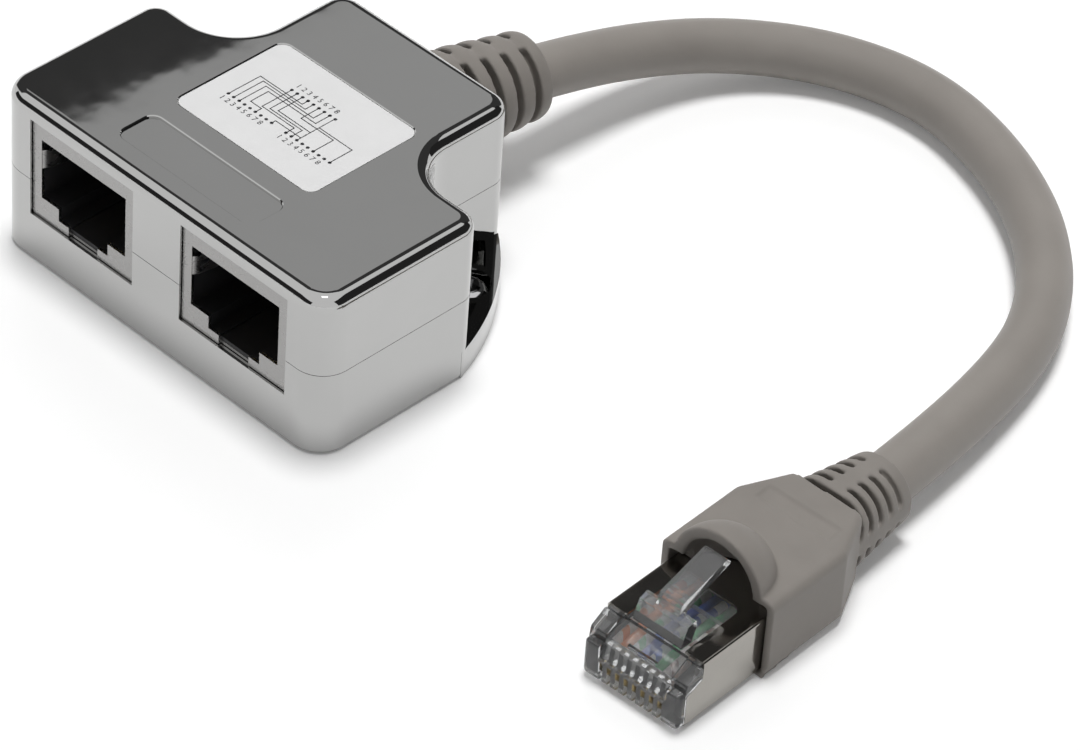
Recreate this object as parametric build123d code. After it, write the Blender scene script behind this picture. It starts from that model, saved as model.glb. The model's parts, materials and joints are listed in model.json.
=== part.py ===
from build123d import *
import os
from math import cos, radians, sin, sqrt, tan

# A T-shaped splitter box with two eight-way jacks in its front face, and a short
# fixed cable that leaves its back and ends in a booted eight-way plug.
# Millimetres. X runs along the front face, Y from the front face to the back,
# and Z up from the base that the box stands on.

# Housing
bar_width = 46.0
bar_depth = 20.9
total_depth = 36.0
housing_height = 19.0
seam_height = 9.8
stem_width = 24.4
shell_wall = 1.6
front_corner = 3.3
shoulder_corner = 2.2
stem_corner = 2.5
inner_corner_share = 0.4
inner_corner_limit = 0.85
top_round = 1.4
bottom_round = 0.5
seam_gap = 0.06
tongue_height = 1.2
tongue_thickness = 0.7
fit_gap = 0.05

# Recesses in the top, and the label in the rear one
label_width = 19.3
label_front = 10.8
label_length = 14.6
label_thickness = 0.15
blank_width = 18.9
blank_front = 3.2
blank_length = 4.9
recess_depth = 0.25
recess_corner = 1.2
recess_edge = 0.1

# Ears of the lower shell, with a screw in each
ear_height = 3.2
ear_rim = 1.5
ear_floor = 1.0
ear_overlap = 1.9
ear_rear_gap = 1.4
ear_bulge = 1.5
screw_from_stem = 3.6
screw_share = 0.4
screw_seat_height = 1.3
screw_head_radius = 2.1
screw_head_height = 1.6
screw_shank_radius = 1.35
screw_tip_height = 0.2
boss_hole_radius = 2.3
boss_ring = 0.8
driver_slot_width = 0.55
driver_slot_length = 2.5
driver_slot_depth = 0.8

# Snap hooks of the upper shell
hook_width_share = 0.26
hook_place_share = 0.36
hook_root_height = 1.4
hook_ramp = 0.7
hook_tip = 1.1
hook_thickness = 0.8
hook_reach = 3.4
hook_barb = 0.45
hook_barb_slope = 0.2
catch_gap = 0.1
catch_height = 1.6
catch_face = 0.9
catch_root = 0.4

# Jacks
jack_pitch = 21.5
jack_width = 14.6
jack_bottom = 5.65
jack_roof_gap = 0.35
jack_depth = 16.6
jack_recess = 0.3
jack_sheet = 0.3
window_gap = 0.1
port_width = 12.1
port_sill = 2.5
port_lintel = 1.8
port_depth = 12.2
latch_notch_width = 7.1
latch_notch_depth = 1.45
latch_slot_width = 4.2
latch_slot_run = 8.5
latch_slot_floor = 0.45
shield_lip = 2.6
tab_level_share = 0.51
tab_height_share = 0.31
tab_length = 5.4
tab_lean = 0.8
tab_sheet = 0.2
tab_root = 0.3
tab_mouth = 0.5
tab_return = 0.9
tab_pocket = 0.45
tab_pocket_gap = 0.1
peg_radius = 0.8
peg_inset = 0.7
peg_from_front = 9.5
peg_below_board = 0.4

# Contacts, shared by jacks and plug
contact_count = 8
contact_pitch = 1.02
spring_width = 0.45
spring_thickness = 0.3
spring_slot_width = 0.62
spring_above_port = 0.75
spring_rear_bend = 0.5
spring_front_bend = 0.32
spring_front = 3.2
spring_run = 6.4
spring_drop_share = 0.52
tail_row_step = 1.0
tail_from_rear = 1.7
tail_length = 0.7

# Circuit board
board_thickness = 1.2
board_edge_gap = 0.9
board_rear_gap = 6.0
board_hole_gap = 0.1
post_radius = 1.5
post_from_shoulder = 4.6
post_from_rear = 2.5
pad_pitch = 2.2
pad_row_share = 0.27

# Cable and its conductors
cable_diameter = 5.7
cable_above_middle = 1.0
cable_start_share = 0.75
relief_lead = 13.0
plug_lead = 38.0
bore_gap = 0.06
conductor_radius = 0.42
conductor_bend = 1.6
wire_stub_share = 0.33
wire_start_pitch = 0.56
wire_start_rise = 1.0
clamp_thickness = 0.45
clamp_front_share = 0.16
clamp_length_share = 0.33

# Strain relief on the housing: it leans with the cable
relief_turn = 7.0
relief_dip = 3.5
relief_flange_inset = 3.2
relief_flange_length = 1.7
relief_neck_inset = 1.1
relief_first_ring = 0.7
relief_ring_pitch = 2.5
relief_length = 12.7
relief_crests = [5.7, 5.5, 5.25, 4.95, 4.75]
relief_scallop = 0.28
relief_slot_width = 0.85
relief_core_radius = 3.5
relief_web = 1.0

# Plug: its own frame has the nose at y = 0 and the cable leaving along +y
plug_x = 65.7
plug_y = -1.5
plug_turn = 3.0
plug_floor = 0.4
plug_width = 11.6
plug_height = 6.5
plug_sheet = 0.25
plug_length = 21.4
nose_step_height = 4.1
nose_step = 0.85
nose_side = 1.0
nose_side_height = 3.8
nose_top = 3.1
nose_top_height = 4.55
nose_brow_height = 4.95
nose_round = 0.4
nose_corner = 0.6
nose_top_drop = 0.28
face_half_width = 3.95
face_ledge = 2.7
face_ledge_depth = 0.3
face_brow = 1.1
face_drop = 0.35
slit_width = 3.5
slit_front = 1.4
slit_length = 0.25
slit_above_wires = 0.7
comb_slot_width = 0.5
comb_slot_height = 2.35
comb_slot_run = 5.4
wire_level = 3.9
wire_front = 1.5
wire_slot_end = 9.0
load_bar_length = 3.0
load_bar_below = 0.8
wire_gap = 0.05
plug_wire_pitch = 0.5
plug_wire_rise = 0.8
plug_wire_straight = 3.2
plug_wire_bend = 2.6
plug_wire_level_run = 1.2
cavity_half_width = 4.6
cavity_wall = 0.7
blade_front = 0.7
blade_length = 4.3
blade_recess = 0.35
blade_thickness = 0.32
blade_foot_bend = 0.5
blade_heel_bend = 0.3
blade_rear_barb = 0.8
blade_notch_slope = 0.5
blade_notch_depth = 0.8
blade_notch_front = 1.5
blade_front_barb = 0.9
blade_barb_slope = 0.15
blade_neck_fall = 1.25
blade_front_fall = 1.5
window_width = 7.0
window_end = 11.0
window_corner = 1.0
shield_corner = 0.3
comb_window_side = 0.5
comb_window_run = 1.6
crimp_length = 4.4
crimp_thickness = 0.3

# Latch, moulded in one with the plug's clear body
latch_front = 3.3
latch_base_width = 5.8
latch_base_length = 2.0
latch_base_slope = 0.7
latch_base_foot = 0.4
latch_shoulder_rise = 2.1
latch_shoulder_fall = 0.35
latch_shoulder_rear = 0.9
latch_lever_width = 2.7
latch_lever_front = 4.8
latch_lever_rise = 3.0
latch_end = 10.95
latch_end_rise = 4.75
latch_end_length = 0.75
latch_end_fall = 0.65
latch_thickness = 1.05
latch_bend = 0.8

# Boot
boot_front = 11.5
boot_width = 13.5
boot_height = 9.0
boot_floor = 0.35
boot_corner = 0.9
boot_block_end = 22.0
boot_waist = 27.3
boot_waist_width = 8.5
boot_waist_low = 0.35
boot_tail_corner = 2.6
boot_tail = 35.7
boot_tail_diameter = 7.6
boot_axis = 4.3
bevel_width = 0.7
bevel_height = 1.1
hood_radius = 5.35
hood_hole_radius = 4.15
hood_axis = 8.0
hood_straight = 0.3
collar_rise = 1.3
collar_depth = 1.3
panel_width = 8.8
panel_front = 21.9
panel_length = 2.2
panel_depth = 0.18
lip_width = 12.8
lip_front = 11.2
lip_length = 5.6
lip_taper = 0.25
lip_height = 0.3
tail_slot_first = 27.1
tail_slot_pitch = 1.6
tail_slot_count = 5
tail_slot_width = 0.65
tail_core_radius = 3.35
tail_web = 0.9

# Derived sizes
half_bar = bar_width / 2
half_stem = stem_width / 2
stem_run = total_depth - bar_depth
shoulder_run = half_bar - half_stem - shoulder_corner
inner_corner = min(inner_corner_share * stem_run, inner_corner_limit * shoulder_run)
screw_from_bar = screw_share * stem_run
hook_width = hook_width_share * stem_run
hook_from_rear = hook_place_share * stem_run
jack_height = housing_height - shell_wall - jack_roof_gap - jack_bottom
port_height = jack_height - port_sill - port_lintel
tab_level = tab_level_share * port_height
tab_height = tab_height_share * port_height
spring_drop = spring_drop_share * port_height
board_top = jack_bottom - fit_gap
board_bottom = board_top - board_thickness
cable_radius = cable_diameter / 2
port_floor = jack_bottom + port_sill
port_roof = port_floor + port_height
jack_rear = jack_recess + jack_depth
board_rear = total_depth - board_rear_gap
pad_row = jack_rear + pad_row_share * (board_rear - jack_rear)
cable_height = housing_height / 2 + cable_above_middle
cable_start = cable_start_share * total_depth
wire_stub = wire_stub_share * (cable_start - pad_row)
clamp_front = cable_start + clamp_front_share * (total_depth - cable_start)
clamp_length = clamp_length_share * (total_depth - cable_start)
relief_flange_radius = housing_height / 2 - relief_flange_inset
relief_neck_radius = relief_flange_radius - relief_neck_inset
spring_level = port_roof + spring_above_port
plug_top = plug_floor + plug_height
wire_height = plug_floor + wire_level
FAR = 60.0


def block(x0, x1, y0, y1, z0, z1):
    """A box between two corners."""
    centre = Pos((x0 + x1) / 2, (y0 + y1) / 2, (z0 + z1) / 2)
    return centre * Box(x1 - x0, y1 - y0, z1 - z0)


def upright(x, y, z0, z1, radius):
    """A round bar that stands between two heights."""
    return Pos(x, y, (z0 + z1) / 2) * Cylinder(radius, z1 - z0)


def lying(x, y0, y1, z, radius):
    """A round bar that lies along Y."""
    return Pos(x, (y0 + y1) / 2, z) * Rot(90, 0, 0) * Cylinder(radius, y1 - y0)


def side_profile(points, radii, width, x=0.0):
    """A closed (y, z) outline with rounded corners, made width thick about x."""
    outline = make_face(FilletPolyline(*[(x, y, z) for y, z in points], radius=radii, close=True))
    return extrude(outline, width / 2, dir=(1, 0, 0), both=True)


def plan(inset=0.0):
    """The T-shaped plan of the housing, drawn in by inset all round."""
    bar, stem = half_bar - inset, half_stem - inset
    front, shoulder, rear = inset, bar_depth - inset, total_depth - inset
    corners = [
        ((-bar, front), front_corner - inset), ((bar, front), front_corner - inset),
        ((bar, shoulder), shoulder_corner - inset), ((stem, shoulder), inner_corner + inset),
        ((stem, rear), stem_corner - inset), ((-stem, rear), stem_corner - inset),
        ((-stem, shoulder), inner_corner + inset), ((-bar, shoulder), shoulder_corner - inset),
    ]
    radii = [max(radius, 0.3) for _, radius in corners]
    return make_face(FilletPolyline(*[point for point, _ in corners], radius=radii, close=True))


def slab(inset, z0, z1):
    """The housing's plan between two heights."""
    return Pos(0, 0, z0) * extrude(plan(inset), z1 - z0)


def jack_centres():
    """The middle of each port along X."""
    return {"left": -jack_pitch / 2, "right": jack_pitch / 2}


def front_windows():
    """The two square holes of the front wall, which both shells share."""
    half = jack_width / 2 + window_gap
    cuts = [
        block(x - half, x + half, -1, shell_wall + 0.6, jack_bottom - window_gap,
              jack_bottom + jack_height + window_gap)
        for x in jack_centres().values()
    ]
    return cuts[0] + cuts[1]


def cable_hole():
    """The round hole of the back wall, half in each shell."""
    return lying(0, total_depth - shell_wall - 1, total_depth + 1, cable_height,
                 relief_neck_radius + fit_gap)


def recess(width, front, length):
    """A shallow rounded pocket in the top face, with its upper edge broken."""
    outline = Pos(0, front + length / 2) * RectangleRounded(width, length, recess_corner)
    pocket = Pos(0, 0, housing_height - recess_depth) * extrude(outline, recess_depth + 1)
    edge = extrude(outline, 2 * recess_edge, taper=-45)
    return pocket + Pos(0, 0, housing_height - recess_edge) * edge


def hook_places():
    """Where the snap hooks stand on the inner walls: x, y and the turn of the wall."""
    inner_bar = half_bar - shell_wall
    inner_stem = half_stem - shell_wall
    rear = total_depth - hook_from_rear
    return [(inner_bar, bar_depth / 2, 0), (-inner_bar, bar_depth / 2, 180),
            (inner_stem, rear, 0), (-inner_stem, rear, 180)]


def snap_hook():
    """A hook on a wall at x = 0 that faces -x: its barb points to the wall."""
    inner = -tongue_thickness - 2 * fit_gap
    root = seam_height + hook_reach
    foot = seam_height - hook_reach
    ramp = root - hook_root_height
    barb = (inner + hook_barb, foot + hook_tip - hook_barb_slope)
    points = [(inner - hook_thickness, root), (fit_gap, root), (fit_gap, ramp), (inner, ramp - hook_ramp),
              (inner, foot + hook_tip), barb, (inner, foot), (inner - hook_thickness, foot)]
    outline = make_face(Polyline(*[(x, 0, z) for x, z in points], close=True))
    return extrude(outline, hook_width / 2, dir=(0, 1, 0), both=True)


def snap_catch():
    """The ledge on the lower shell's wall that a hook's barb snaps under."""
    inner = -tongue_thickness - 2 * fit_gap
    level = seam_height - hook_reach + hook_tip + catch_gap
    points = [(catch_root, level + catch_height), (inner + fit_gap, level + catch_face),
              (inner + fit_gap, level), (catch_root, level)]
    outline = make_face(Polyline(*[(x, 0, z) for x, z in points], close=True))
    return extrude(outline, hook_width / 2 - fit_gap, dir=(0, 1, 0), both=True)


def at_hooks(shape):
    """Copies of a hook or catch at each of its places."""
    return [Pos(x, y, 0) * Rot(0, 0, turn) * shape for x, y, turn in hook_places()]


def upper_shell():
    """Top half of the housing, with the label's recess and the snap hooks."""
    body = slab(0, seam_height, housing_height)
    body = fillet(body.faces().sort_by(Axis.Z)[-1].edges(), top_round)
    body -= slab(shell_wall, seam_height - 1, housing_height - shell_wall)
    groove = shell_wall - tongue_thickness - fit_gap
    body -= slab(groove, seam_height - 1, seam_height + tongue_height + fit_gap)
    body -= front_windows()
    body -= cable_hole()
    body -= recess(label_width, label_front, label_length)
    body -= recess(blank_width, blank_front, blank_length)
    for hook in at_hooks(snap_hook()):
        body += hook
    return body


def ear_outline(side, rim):
    """Plan of an ear, drawn in by rim along its bowed outer edge."""
    start = Vector(half_bar, bar_depth - ear_overlap)
    end = Vector(half_stem, total_depth - ear_rear_gap)
    chord = end - start
    outward = Vector(chord.Y, -chord.X).normalized()
    middle = (start + end) * 0.5 + outward * ear_bulge
    inward = outward * -rim
    arc = ThreePointArc(start + inward, middle + inward, end + inward)
    inside = (half_stem - 3, bar_depth - 3)
    outline = make_face(Curve() + [arc, Line(end + inward, inside), Line(inside, start + inward)])
    return outline if side > 0 else outline.mirror(Plane.YZ)


def screw_place(side):
    """Where the screw of one ear stands."""
    return side * (half_stem + screw_from_stem), bar_depth + screw_from_bar


def ear(side):
    """A low ear that fills an inner corner of the T."""
    return extrude(ear_outline(side, 0), ear_height)


def ear_pocket(side):
    """What is cored out of an ear: the pocket round the boss, and the screw's hole."""
    x, y = screw_place(side)
    pocket = Pos(0, 0, ear_floor) * extrude(ear_outline(side, ear_rim), ear_height)
    pocket -= slab(0, -1, ear_height + 2)
    pocket -= upright(x, y, 0, ear_height + 2, boss_hole_radius + boss_ring)
    pocket += upright(x, y, screw_seat_height, ear_height + 1, boss_hole_radius)
    return pocket + upright(x, y, -1, screw_seat_height + 1, screw_shank_radius + fit_gap)


def board_posts():
    """Feet of the lower shell that the circuit board lies on."""
    inner = half_bar - shell_wall - board_edge_gap - post_radius
    stem = half_stem - shell_wall - board_edge_gap - post_radius
    front, rear = bar_depth - post_from_shoulder, board_rear - post_from_rear
    places = [(inner, front), (-inner, front), (stem, rear), (-stem, rear)]
    return [upright(x, y, shell_wall - 0.2, board_bottom - fit_gap, post_radius) for x, y in places]


def lower_shell():
    """Bottom half of the housing, with its ears, tongue and the board's feet."""
    body = slab(0, 0, seam_height - seam_gap)
    body = fillet(body.faces().sort_by(Axis.Z)[0].edges(), bottom_round)
    for side in (1, -1):
        body += ear(side)
        body -= ear_pocket(side)
    body -= slab(shell_wall, shell_wall, seam_height + 1)
    tongue = slab(shell_wall - tongue_thickness, seam_height - 1.2, seam_height + tongue_height)
    body += tongue - slab(shell_wall, seam_height - 2, seam_height + tongue_height + 1)
    body -= front_windows()
    body -= cable_hole()
    for post in board_posts():
        body += post
    for catch in at_hooks(snap_catch()):
        body += catch
    return body


def ear_screw(side):
    """Pan-head screw with a cross slot, seated in an ear."""
    x, y = screw_place(side)
    seat = screw_seat_height + fit_gap
    head = upright(x, y, seat, seat + screw_head_height, screw_head_radius)
    head = fillet(head.faces().sort_by(Axis.Z)[-1].edges(), screw_head_height * 0.7)
    screw = head + upright(x, y, screw_tip_height, seat + 0.2, screw_shank_radius)
    top = seat + screw_head_height
    for turn in (0, 90):
        slot = Box(driver_slot_length, driver_slot_width, 2 * driver_slot_depth)
        screw -= Pos(x, y, top) * Rot(0, 0, turn + 20) * slot
    return screw


def wiring_label():
    """White label that lies in the rear recess."""
    outline = Pos(0, label_front + label_length / 2) * RectangleRounded(
        label_width - 2 * fit_gap, label_length - 2 * fit_gap, recess_corner - fit_gap)
    return Pos(0, 0, housing_height - recess_depth) * extrude(outline, label_thickness)


def spring_places(x):
    """The eight contacts of one jack: x and the y of the tail's row."""
    row = jack_rear - jack_sheet - tail_from_rear
    return [(x + (i - (contact_count - 1) / 2) * contact_pitch, row - (i % 2) * tail_row_step)
            for i in range(contact_count)]


def peg_places(x):
    """The two locating pegs of one jack."""
    reach = port_width / 2 - peg_inset
    return [(x - reach, jack_recess + peg_from_front), (x + reach, jack_recess + peg_from_front)]


def pad_places():
    """The solder holes of the cable's conductors."""
    return [((i - (contact_count - 1) / 2) * pad_pitch, pad_row) for i in range(contact_count)]


def circuit_board():
    """Board that carries the jacks and takes the cable's conductors."""
    bar = half_bar - shell_wall - board_edge_gap
    stem = half_stem - shell_wall - board_edge_gap
    board = block(-bar, bar, shell_wall + board_edge_gap, bar_depth - shell_wall - board_edge_gap,
                  board_bottom, board_top)
    board += block(-stem, stem, bar_depth - 8, board_rear, board_bottom, board_top)
    holes = [(x, y, conductor_radius + board_hole_gap) for x, y in pad_places()]
    for centre in jack_centres().values():
        holes += [(x, y, peg_radius + board_hole_gap) for x, y in peg_places(centre)]
        half = sqrt(spring_width ** 2 + spring_thickness ** 2) / 2
        holes += [(x, y, half + board_hole_gap) for x, y in spring_places(centre)]
    for x, y, radius in holes:
        board -= upright(x, y, board_bottom - 1, board_top + 1, radius)
    return board


def port_cut(x, y0, y1, slot_run, slot_low):
    """The stepped opening of one port: a plug's outline with its latch at the bottom."""
    cut = block(x - port_width / 2, x + port_width / 2, y0, y1, port_floor, port_roof)
    end = y0 + slot_run
    cut += block(x - latch_notch_width / 2, x + latch_notch_width / 2, y0, end,
                 port_floor - latch_notch_depth, port_floor + 1)
    return cut + block(x - latch_slot_width / 2, x + latch_slot_width / 2, y0, end,
                       slot_low, port_floor)


def jack_shield(x):
    """Folded metal can of one jack, with a stepped port and two inner spring tabs."""
    half, top = jack_width / 2, jack_bottom + jack_height
    can = block(x - half, x + half, jack_recess, jack_rear, jack_bottom, top)
    can -= block(x - half + jack_sheet, x + half - jack_sheet, jack_recess + jack_sheet,
                 jack_rear - jack_sheet, jack_bottom + jack_sheet, top - jack_sheet)
    can -= block(x - half + jack_sheet, x + half - jack_sheet, jack_recess + shield_lip,
                 jack_rear - jack_sheet, jack_bottom - 1, jack_bottom + 1)
    through = jack_sheet + fit_gap
    can -= port_cut(x, jack_recess - 1, jack_recess + through, 1 + through, jack_bottom - 1)
    for side in (1, -1):
        edge, y = port_width / 2, jack_recess + jack_sheet / 2
        points = [(x + side * (edge + tab_root), y), (x + side * edge, y),
                  (x + side * (edge - tab_root), y + tab_mouth),
                  (x + side * (edge - tab_lean - tab_root), y + tab_length),
                  (x + side * (edge - tab_lean), y + tab_length + tab_return)]
        leaf = trace(Polyline(*points), tab_sheet)
        can += Pos(0, 0, port_floor + tab_level) * extrude(leaf, tab_height)
    return can


def jack_insert(x):
    """Black plastic body of one jack: the socket, the springs' slots and two pegs."""
    half = jack_width / 2 - jack_sheet - fit_gap
    front, rear = jack_recess + jack_sheet + fit_gap, jack_rear - jack_sheet - fit_gap
    foot = jack_bottom + jack_sheet + fit_gap
    roof = jack_bottom + jack_height - jack_sheet - fit_gap
    body = block(x - half, x + half, front, rear, foot, roof)
    body -= port_cut(x, front - 1, front + port_depth, latch_slot_run + 1, foot + latch_slot_floor)
    low, high = port_floor + tab_level, port_floor + tab_level + tab_height
    side = port_width / 2 + tab_pocket
    body -= block(x - side, x + side, front - 1, front + 1, low - tab_pocket_gap, high + tab_pocket_gap)
    slot = spring_slot_width / 2
    deep = spring_thickness / 2 + board_hole_gap
    for tail_x, tail_y in spring_places(x):
        body -= block(tail_x - slot, tail_x + slot, spring_front - spring_slot_width, tail_y + deep,
                      port_roof - 0.5, spring_level + deep)
        body -= block(tail_x - slot, tail_x + slot, tail_y - deep, tail_y + deep,
                      foot - 1, spring_level + deep)
    for peg_x, peg_y in peg_places(x):
        body += upright(peg_x, peg_y, board_bottom - peg_below_board, foot + 1, peg_radius)
    return body


def spring_contact(x, tail_y):
    """A wire contact: up from the board, forward over the port and back down into it."""
    tip = (spring_front + spring_run, spring_level - spring_drop)
    route = FilletPolyline(
        (0, tail_y, board_bottom - tail_length), (0, tail_y, spring_level),
        (0, spring_front, spring_level), (0, *tip), radius=[spring_rear_bend, spring_front_bend])
    start = Plane(origin=route @ 0, z_dir=(0, 0, 1), x_dir=(1, 0, 0))
    section = start * Rectangle(spring_width, spring_thickness)
    return Pos(x, 0, 0) * sweep(section, path=route)


def place_plug(shape):
    """Moves a shape from the plug's own frame to where the plug lies."""
    return Pos(plug_x, plug_y, 0) * Rot(0, 0, plug_turn) * shape


def plug_point(y, z=boot_axis):
    """A point on the plug's centre line, in the housing's frame."""
    turn = radians(plug_turn)
    return (plug_x - y * sin(turn), plug_y + y * cos(turn), z)


def relief_axis():
    """The direction in which the strain relief points the cable."""
    turn, dip = radians(relief_turn), radians(relief_dip)
    return Vector(sin(turn) * cos(dip), cos(turn) * cos(dip), -sin(dip))


def cable_route():
    """Corner points of the cable's centre line, from the clamp ring to the plug."""
    exit_point = Vector(0, total_depth, cable_height)
    return [
        Vector(0, cable_start, cable_height), exit_point, exit_point + relief_axis() * relief_lead,
        Vector(2.44, 63.0, 6.14), Vector(6.2, 73.7, 3.85), Vector(14.45, 81.45, 2.93),
        Vector(25.45, 84.4, 2.88), Vector(37.0, 81.8, 2.87), Vector(47.2, 76.3, 2.87),
        Vector(55.4, 67.8, 2.9), Vector(60.1, 57.3, 3.05),
        Vector(*plug_point(plug_lead)), Vector(*plug_point(plug_length + 0.1)),
    ]


def corner_radii(route):
    """The largest arc that the two runs beside each corner leave room for."""
    radii = []
    for before, corner, after in zip(route, route[1:], route[2:]):
        half_turn = radians((corner - before).get_angle(after - corner)) / 2
        shorter = min((corner - before).length, (after - corner).length)
        radii.append(0.45 * shorter / tan(half_turn))
    return radii


def cable_path():
    """The cable's centre line: straight runs joined by tangent arcs."""
    route = cable_route()
    return FilletPolyline(*route, radius=corner_radii(route))


def tube_along(path, radius):
    """A round solid along a path."""
    start = Plane(origin=path @ 0, z_dir=path % 0)
    return sweep(start * Circle(radius), path=path)


def strain_relief(bore):
    """Moulded relief: a flange behind the wall, a neck, and a leaning slotted tail."""
    inner = total_depth - shell_wall - fit_gap
    root = lying(0, inner - relief_flange_length, inner, cable_height, relief_flange_radius)
    root += lying(0, inner - 0.5, total_depth + 0.6, cable_height, relief_neck_radius)
    bounds = [relief_first_ring + i * relief_ring_pitch for i in range(len(relief_crests))]
    bounds.append(relief_length)
    first = relief_crests[0] - relief_scallop
    edge = [Line((0, -2), (first, -2)), Line((first, -2), (first, bounds[0]))]
    at = edge[-1] @ 1
    for i, crest in enumerate(relief_crests):
        following = relief_crests[min(i + 1, len(relief_crests) - 1)]
        end = ((crest + following) / 2 - relief_scallop, bounds[i + 1])
        edge.append(ThreePointArc(at, (crest, (bounds[i] + bounds[i + 1]) / 2), end))
        at = edge[-1] @ 1
    edge += [Line(at, (0, bounds[-1])), Line((0, bounds[-1]), (0, -2))]
    section = Plane.XZ * make_face(Curve() + edge)
    tail = revolve(section, Axis.Z)
    for level in bounds[1:-1]:
        slot = Pos(0, 0, level) * (Cylinder(12, relief_slot_width) - Cylinder(relief_core_radius, 2))
        tail -= slot - Pos(0, 0, level) * Box(2 * relief_web, 30, 2)
    lean = Plane(origin=(0, total_depth, cable_height), z_dir=relief_axis(), x_dir=(1, 0, 0))
    tail = lean * tail
    tail -= block(-FAR, FAR, 0, total_depth + fit_gap, -FAR, FAR)
    return root + tail - bore


def cable_clamp():
    """Ring crimped on the jacket inside the housing."""
    end, bore = clamp_front + clamp_length, cable_radius + bore_gap
    outer = lying(0, clamp_front, end, cable_height, bore + clamp_thickness)
    return outer - lying(0, clamp_front - 1, end + 1, cable_height, bore)


def wire_along(points, bend):
    """A conductor along a bent route."""
    path = FilletPolyline(*points, radius=bend)
    return tube_along(path, conductor_radius)


def board_wire(index):
    """A conductor's end, from the jacket down through the board."""
    offset = index - (contact_count - 1) / 2
    x, y = pad_places()[index]
    start_x = offset * wire_start_pitch
    start_z = cable_height + (wire_start_rise if index % 2 else -wire_start_rise)
    start = cable_start - fit_gap
    points = [(start_x, start, start_z), (start_x, start - wire_stub, start_z), (x, y, start_z),
              (x, y, board_bottom - tail_length)]
    return wire_along(points, conductor_bend)


def comb_x(index):
    """The place of one contact across the plug."""
    return (index - (contact_count - 1) / 2) * contact_pitch


def plug_wire(index):
    """A conductor's end, from the jacket to the nose of the plug."""
    offset = index - (contact_count - 1) / 2
    start_x = offset * plug_wire_pitch
    start_z = boot_axis + (plug_wire_rise if index % 2 else -plug_wire_rise)
    level_run = wire_slot_end + load_bar_length + plug_wire_level_run
    points = [(start_x, plug_length, start_z), (start_x, plug_length - plug_wire_straight, start_z),
              (comb_x(index), level_run, wire_height), (comb_x(index), wire_front, wire_height)]
    return place_plug(wire_along(points, plug_wire_bend))


def plug_contact(index):
    """Blade contact that stands in one slot of the comb."""
    low, high = plug_floor + blade_recess, wire_height - conductor_radius - wire_gap
    back, notch = blade_front + blade_length, high - blade_notch_depth
    front_barb, rear_barb = blade_front + blade_notch_front, back - blade_rear_barb
    points = [(blade_front, low), (back, low), (back, high), (rear_barb, high),
              (rear_barb - blade_notch_slope, notch), (front_barb + blade_notch_slope, notch),
              (front_barb, high), (blade_front + blade_front_barb, high),
              (blade_front + blade_front_barb - blade_barb_slope, high - blade_neck_fall),
              (blade_front, high - blade_front_fall)]
    radii = [blade_foot_bend, blade_heel_bend, 0, 0, 0, 0, 0, 0, 0, 0.2]
    return place_plug(side_profile(points, radii, blade_thickness, comb_x(index)))


def latch():
    """Base with two shoulders across the plug's top, and the lever that rises from it."""
    foot = plug_top - plug_sheet - latch_base_foot
    crest, back = plug_top + latch_shoulder_rise, latch_front + latch_base_length
    shoulder = (back, crest - latch_shoulder_rear)
    base = [(latch_front, foot), (latch_front, plug_top - fit_gap),
            (latch_front + latch_base_slope, crest - latch_shoulder_fall), (back - 0.1, crest), shoulder,
            (back - latch_base_slope, foot)]
    shoulders = side_profile(base, [0, 0, 0.2, 0.15, 0.2, 0], latch_base_width)
    front, end = plug_top + latch_lever_rise, plug_top + latch_end_rise
    lever = [(latch_front + 1.0, crest - 0.7), (latch_lever_front - 0.1, front - 0.3),
             (latch_lever_front + 0.3, front + 0.1), (latch_end, end),
             (latch_end + latch_end_length, end - latch_end_fall),
             (latch_lever_front + latch_thickness, front - latch_thickness), shoulder,
             (latch_front + 1.2, shoulder[1] - 0.4)]
    arm = side_profile(lever, [0, 0.2, 0.3, 0.2, 0.2, latch_bend, 0, 0], latch_lever_width)
    return shoulders + arm


def side_step(gap):
    """What the shield leaves open of the nose, grown by gap: low at the comb, high at the top."""
    low, high = plug_floor + nose_side_height - gap, plug_floor + nose_top_height - gap
    points = [(-1, low), (nose_side + gap, low), (nose_top + gap, high),
              (nose_top + gap, plug_top + 1), (-1, plug_top + 1)]
    return side_profile(points, [0] * len(points), plug_width + 1)


def nose_form():
    """Full-width front of the clear body: the comb's block below a brow that slopes back."""
    low, top = plug_floor, plug_top - nose_top_drop
    step, brow = plug_floor + nose_step_height, plug_floor + nose_brow_height
    points = [(0, low), (nose_side, low), (nose_side, plug_floor + nose_side_height),
              (nose_top, plug_floor + nose_top_height), (nose_top, top), (nose_step + 0.1, brow),
              (nose_step, step), (0, step)]
    form = side_profile(points, [nose_round, 0, 0, 0, 0.3, nose_round, 0, 0.3], plug_width)
    corners = form.edges().filter_by(Axis.Z).group_by(Axis.Y)[0]
    return fillet(corners, nose_corner)


def face_cut():
    """The sunk middle of the nose, between a post at each end of the comb."""
    ledge, brow = plug_floor + face_ledge, plug_floor + nose_brow_height - face_drop
    points = [(-1, ledge), (face_ledge_depth, ledge), (face_brow, brow),
              (nose_top, plug_top - 2 * face_drop), (nose_top, plug_top + 1), (-1, plug_top + 1)]
    return side_profile(points, [0, 0, 0.3, 0, 0, 0], 2 * face_half_width)


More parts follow.
